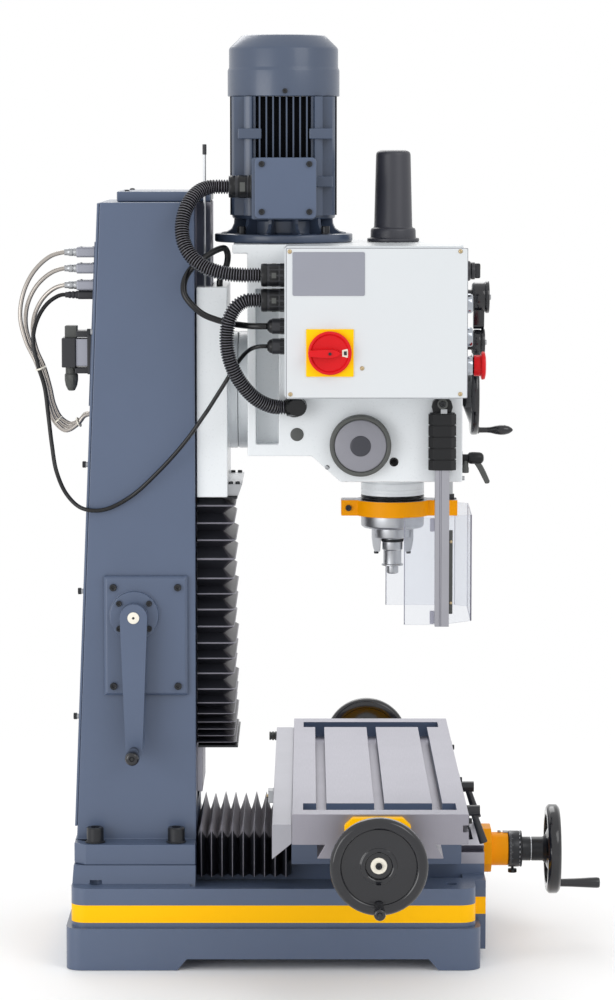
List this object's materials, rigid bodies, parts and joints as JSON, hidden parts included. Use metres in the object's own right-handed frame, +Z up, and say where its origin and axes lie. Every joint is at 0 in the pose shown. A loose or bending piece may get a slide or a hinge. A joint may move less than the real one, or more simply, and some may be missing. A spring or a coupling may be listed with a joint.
{
  "type": "mill drill",
  "caption": "bench mill drill with a dovetail column, a swivelling gear head lifted by a crank, a quill with a spoked feed lever and a compound table on screws",
  "frame": {"origin": "the middle of the base's underside, under the middle of the bounding box without its cords", "axes": "+Z is up along the column, +X runs along the table's length to the operator's right, and +Y points from the operator to the column"},
  "size_m": [1.1508, 0.8451, 1.3216],
  "materials": {
    "slate_paint": "hammered slate blue paint, half gloss",
    "white_paint": "smooth white-grey paint, half gloss",
    "yellow_paint": "smooth yellow-orange paint",
    "orange_paint": "smooth orange paint",
    "ground_steel": "ground and turned steel",
    "black_gloss": "moulded black plastic, polished",
    "black_matt": "black plastic, fine grain",
    "bellows_rubber": "folded black rubberised cloth",
    "cord_rubber": "black flexible sheath",
    "chrome": "polished plate",
    "aluminium": "drawn aluminium",
    "armoured_cord": "flexible steel armour",
    "red_plastic": "moulded red plastic",
    "clear_plastic": "clear polycarbonate sheet"
  },
  "bodies": {
    "stand": {"base_casting": "slate_paint", "column": "slate_paint", "column_top_cover": "slate_paint", "z_gear_cover": "slate_paint", "y_bracket": "yellow_paint", "rear_connector_panel": "black_matt", "z_bellows": "bellows_rubber", "y_bellows": "bellows_rubber", "scale_cable_1": "armoured_cord", "scale_cable_2": "armoured_cord", "scale_cable_3": "armoured_cord", "head_cable": "cord_rubber"},
    "lift_crank": {"z_crank": "slate_paint"},
    "lift_crank_handle": {"z_crank_handle": "black_gloss"},
    "lift_screw": {"z_leadscrew": "ground_steel"},
    "carriage": {"head_carriage": "white_paint"},
    "head": {"head_casting": "white_paint", "electrical_box": "white_paint", "motor_body": "slate_paint", "motor_cowl": "slate_paint", "terminal_box": "slate_paint", "drawbar_cover": "black_matt", "quill_spring_cap": "black_gloss", "guard_housing": "black_matt", "conduit_motor": "cord_rubber", "conduit_head": "cord_rubber", "limit_cable": "cord_rubber"},
    "quill_group": {"quill": "ground_steel", "depth_stop_clamp": "orange_paint", "depth_stop_rod": "ground_steel"},
    "spindle_group": {"spindle": "ground_steel"},
    "feed_lever": {"quill_feed_lever": "black_gloss"},
    "fine_feed": {"fine_feed_wheel": "black_gloss"},
    "isolator": {"isolator_knob": "red_plastic"},
    "selector": {"speed_selector": "black_matt"},
    "start": {"start_button": "chrome"},
    "stop": {"stop_button": "chrome"},
    "emergency": {"emergency_stop": "red_plastic"},
    "speed_upper": {"speed_lever_upper": "black_matt"},
    "speed_lower": {"speed_lever_lower": "black_matt"},
    "quill_lock": {"quill_lock_lever": "black_matt"},
    "guard": {"guard_post": "aluminium", "guard_screen": "clear_plastic"},
    "saddle_group": {"saddle": "slate_paint"},
    "lock_left": {"table_lock_lever_left": "black_matt"},
    "lock_right": {"table_lock_lever_right": "black_matt"},
    "cross_screw": {"y_leadscrew": "ground_steel", "y_handwheel": "black_gloss"},
    "cross_handle": {"y_handle": "black_gloss"},
    "table_group": {"table": "ground_steel", "x_bracket_left": "yellow_paint", "x_bracket_right": "yellow_paint", "table_scale_cover": "white_paint"},
    "table_screw": {"x_leadscrew": "ground_steel", "x_handwheel_left": "black_gloss", "x_handwheel_right": "black_gloss"},
    "table_handle_left": {"x_handle_left": "black_gloss"},
    "table_handle_right": {"x_handle_right": "black_gloss"}
  },
  "joints": [
    {"name": "lift_crank_turn", "type": "hinge", "parent": "stand", "child": "lift_crank", "pos_m": [-0.14, 0.284, 0.497], "axis": [1, 0, 0], "range_deg": [-26641, 18721]},
    {"name": "lift_crank_handle_spin", "type": "hinge", "parent": "lift_crank", "child": "lift_crank_handle", "pos_m": [-0.19, 0.284, 0.305], "axis": [1, 0, 0], "continuous": true},
    {"name": "lift_screw_turn", "type": "hinge", "parent": "stand", "child": "lift_screw", "pos_m": [0, 0.284, 0.7], "axis": [0, 0, 1], "range_deg": [-9361, 13321]},
    {"name": "head_slide", "type": "slide", "parent": "stand", "child": "carriage", "axis": [0, 0, 1], "range_m": [-0.185, 0.13], "deforming": ["z_bellows", "head_cable"]},
    {"name": "head_swivel", "type": "hinge", "parent": "carriage", "child": "head", "pos_m": [0, 0.14, 0.811], "axis": [0, -1, 0], "range_deg": [-45, 45], "deforming": ["limit_cable", "conduit_motor"]},
    {"name": "feed_lever_turn", "type": "hinge", "parent": "head", "child": "feed_lever", "pos_m": [0.16, -0.038, 0.741], "axis": [1, 0, 0], "range_deg": [0, 360], "stiffness_Nm_per_rad": 0.8, "springref_deg": -343.77},
    {"name": "quill_slide", "type": "slide", "parent": "head", "child": "quill_group", "axis": [0, 0, -1], "range_m": [0, 0.12]},
    {"name": "spindle_spin", "type": "hinge", "parent": "quill_group", "child": "spindle_group", "pos_m": [0, -0.087, 0.7], "axis": [0, 0, 1], "continuous": true},
    {"name": "fine_feed_turn", "type": "hinge", "parent": "head", "child": "fine_feed", "pos_m": [0.045, -0.2, 0.8], "axis": [0, 1, 0], "continuous": true},
    {"name": "quill_lock_turn", "type": "hinge", "parent": "head", "child": "quill_lock", "pos_m": [-0.06, -0.2, 0.716], "axis": [0, 1, 0], "range_deg": [-60, 30]},
    {"name": "isolator_turn", "type": "hinge", "parent": "head", "child": "isolator", "pos_m": [-0.25, 0.006, 0.878], "axis": [1, 0, 0], "range_deg": [0, 90]},
    {"name": "selector_turn", "type": "hinge", "parent": "head", "child": "selector", "pos_m": [-0.18, -0.19, 0.9896], "axis": [0, 1, 0], "range_deg": [-45, 45]},
    {"name": "start_press", "type": "slide", "parent": "head", "child": "start", "axis": [0, 1, 0], "range_m": [0, 0.003], "stiffness_N_per_m": 600, "springref_m": -0.002},
    {"name": "stop_press", "type": "slide", "parent": "head", "child": "stop", "axis": [0, 1, 0], "range_m": [0, 0.003], "stiffness_N_per_m": 600, "springref_m": -0.002},
    {"name": "emergency_press", "type": "slide", "parent": "head", "child": "emergency", "axis": [0, 1, 0], "range_m": [0, 0.003]},
    {"name": "speed_upper_turn", "type": "hinge", "parent": "head", "child": "speed_upper", "pos_m": [-0.045, -0.21, 0.947], "axis": [0, 1, 0], "range_deg": [-60, 60]},
    {"name": "speed_lower_turn", "type": "hinge", "parent": "head", "child": "speed_lower", "pos_m": [-0.045, -0.21, 0.882], "axis": [0, 1, 0], "range_deg": [-60, 60]},
    {"name": "guard_swing", "type": "hinge", "parent": "head", "child": "guard", "pos_m": [-0.145, -0.1536, 0.6], "axis": [0, 0, 1], "range_deg": [-90, 0]},
    {"name": "cross_screw_turn", "type": "hinge", "parent": "stand", "child": "cross_screw", "pos_m": [0, -0.25, 0.133], "axis": [0, 1, 0], "range_deg": [-6841, 5761]},
    {"name": "cross_handle_spin", "type": "hinge", "parent": "cross_screw", "child": "cross_handle", "pos_m": [0, -0.36, 0.082], "axis": [0, 1, 0], "continuous": true},
    {"name": "saddle_slide", "type": "slide", "parent": "stand", "child": "saddle_group", "axis": [0, 1, 0], "range_m": [-0.095, 0.08], "deforming": ["y_bellows"]},
    {"name": "table_lock_left_turn", "type": "hinge", "parent": "saddle_group", "child": "lock_left", "pos_m": [-0.095, -0.2, 0.208], "axis": [0, 1, 0], "range_deg": [-45, 45]},
    {"name": "table_lock_right_turn", "type": "hinge", "parent": "saddle_group", "child": "lock_right", "pos_m": [0.095, -0.2, 0.208], "axis": [0, 1, 0], "range_deg": [-45, 45]},
    {"name": "table_screw_turn", "type": "hinge", "parent": "table_group", "child": "table_screw", "pos_m": [0, -0.058, 0.211], "axis": [1, 0, 0], "range_deg": [-19081, 19081]},
    {"name": "table_slide", "type": "slide", "parent": "saddle_group", "child": "table_group", "axis": [1, 0, 0], "range_m": [-0.265, 0.265]},
    {"name": "table_handle_left_spin", "type": "hinge", "parent": "table_screw", "child": "table_handle_left", "pos_m": [-0.54, -0.058, 0.16], "axis": [1, 0, 0], "continuous": true},
    {"name": "table_handle_right_spin", "type": "hinge", "parent": "table_screw", "child": "table_handle_right", "pos_m": [0.54, -0.058, 0.16], "axis": [1, 0, 0], "continuous": true}
  ],
  "couplings": [
    {"joint": "lift_crank_turn", "follows": "head_slide", "rad_per_m": 2513.3},
    {"joint": "lift_screw_turn", "follows": "head_slide", "rad_per_m": -1256.6},
    {"joint": "quill_slide", "follows": "feed_lever_turn", "m_per_rad": 0.019099},
    {"joint": "cross_screw_turn", "follows": "saddle_slide", "rad_per_m": 1256.6},
    {"joint": "table_screw_turn", "follows": "table_slide", "rad_per_m": 1256.6}
  ]
}
